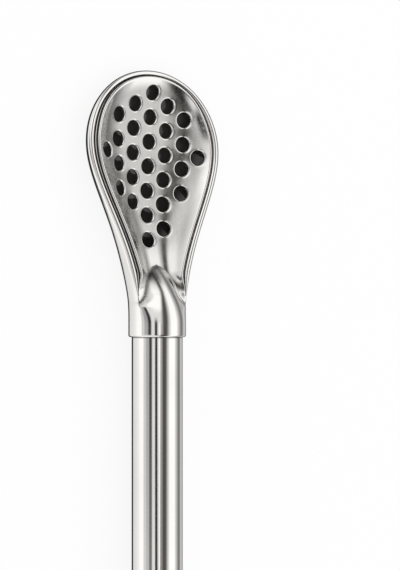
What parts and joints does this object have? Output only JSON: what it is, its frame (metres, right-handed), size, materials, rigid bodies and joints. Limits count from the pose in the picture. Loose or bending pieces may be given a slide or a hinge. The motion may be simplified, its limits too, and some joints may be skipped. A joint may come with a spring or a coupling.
{
  "type": "bombilla",
  "caption": "Stainless steel drinking straw for mate with a spoon-shaped perforated strainer head that pulls off for cleaning and a tapered mouthpiece.",
  "frame": {"origin": "on the surface it lies on, under the middle of its length and width", "axes": "+Y along the straw from the mouthpiece to the tip of the strainer head, +Z out of the perforated face, X across the head"},
  "size_m": [0.0242, 0.1923, 0.0104],
  "materials": {
    "shell_steel": "polished stainless sheet, lightly satin",
    "plate_steel": "satin stainless sheet with punched holes",
    "tube_steel": "polished stainless tube",
    "mouth_steel": "polished stainless, turned"
  },
  "bodies": {
    "straw": {"straw_tube": "tube_steel", "mouthpiece": "mouth_steel"},
    "head": {"back_shell": "shell_steel", "strainer_plate": "plate_steel"}
  },
  "joints": [
    {"name": "head_pull", "type": "slide", "parent": "straw", "child": "head", "axis": [0, 1, 0], "range_m": [0, 0.006]}
  ]
}
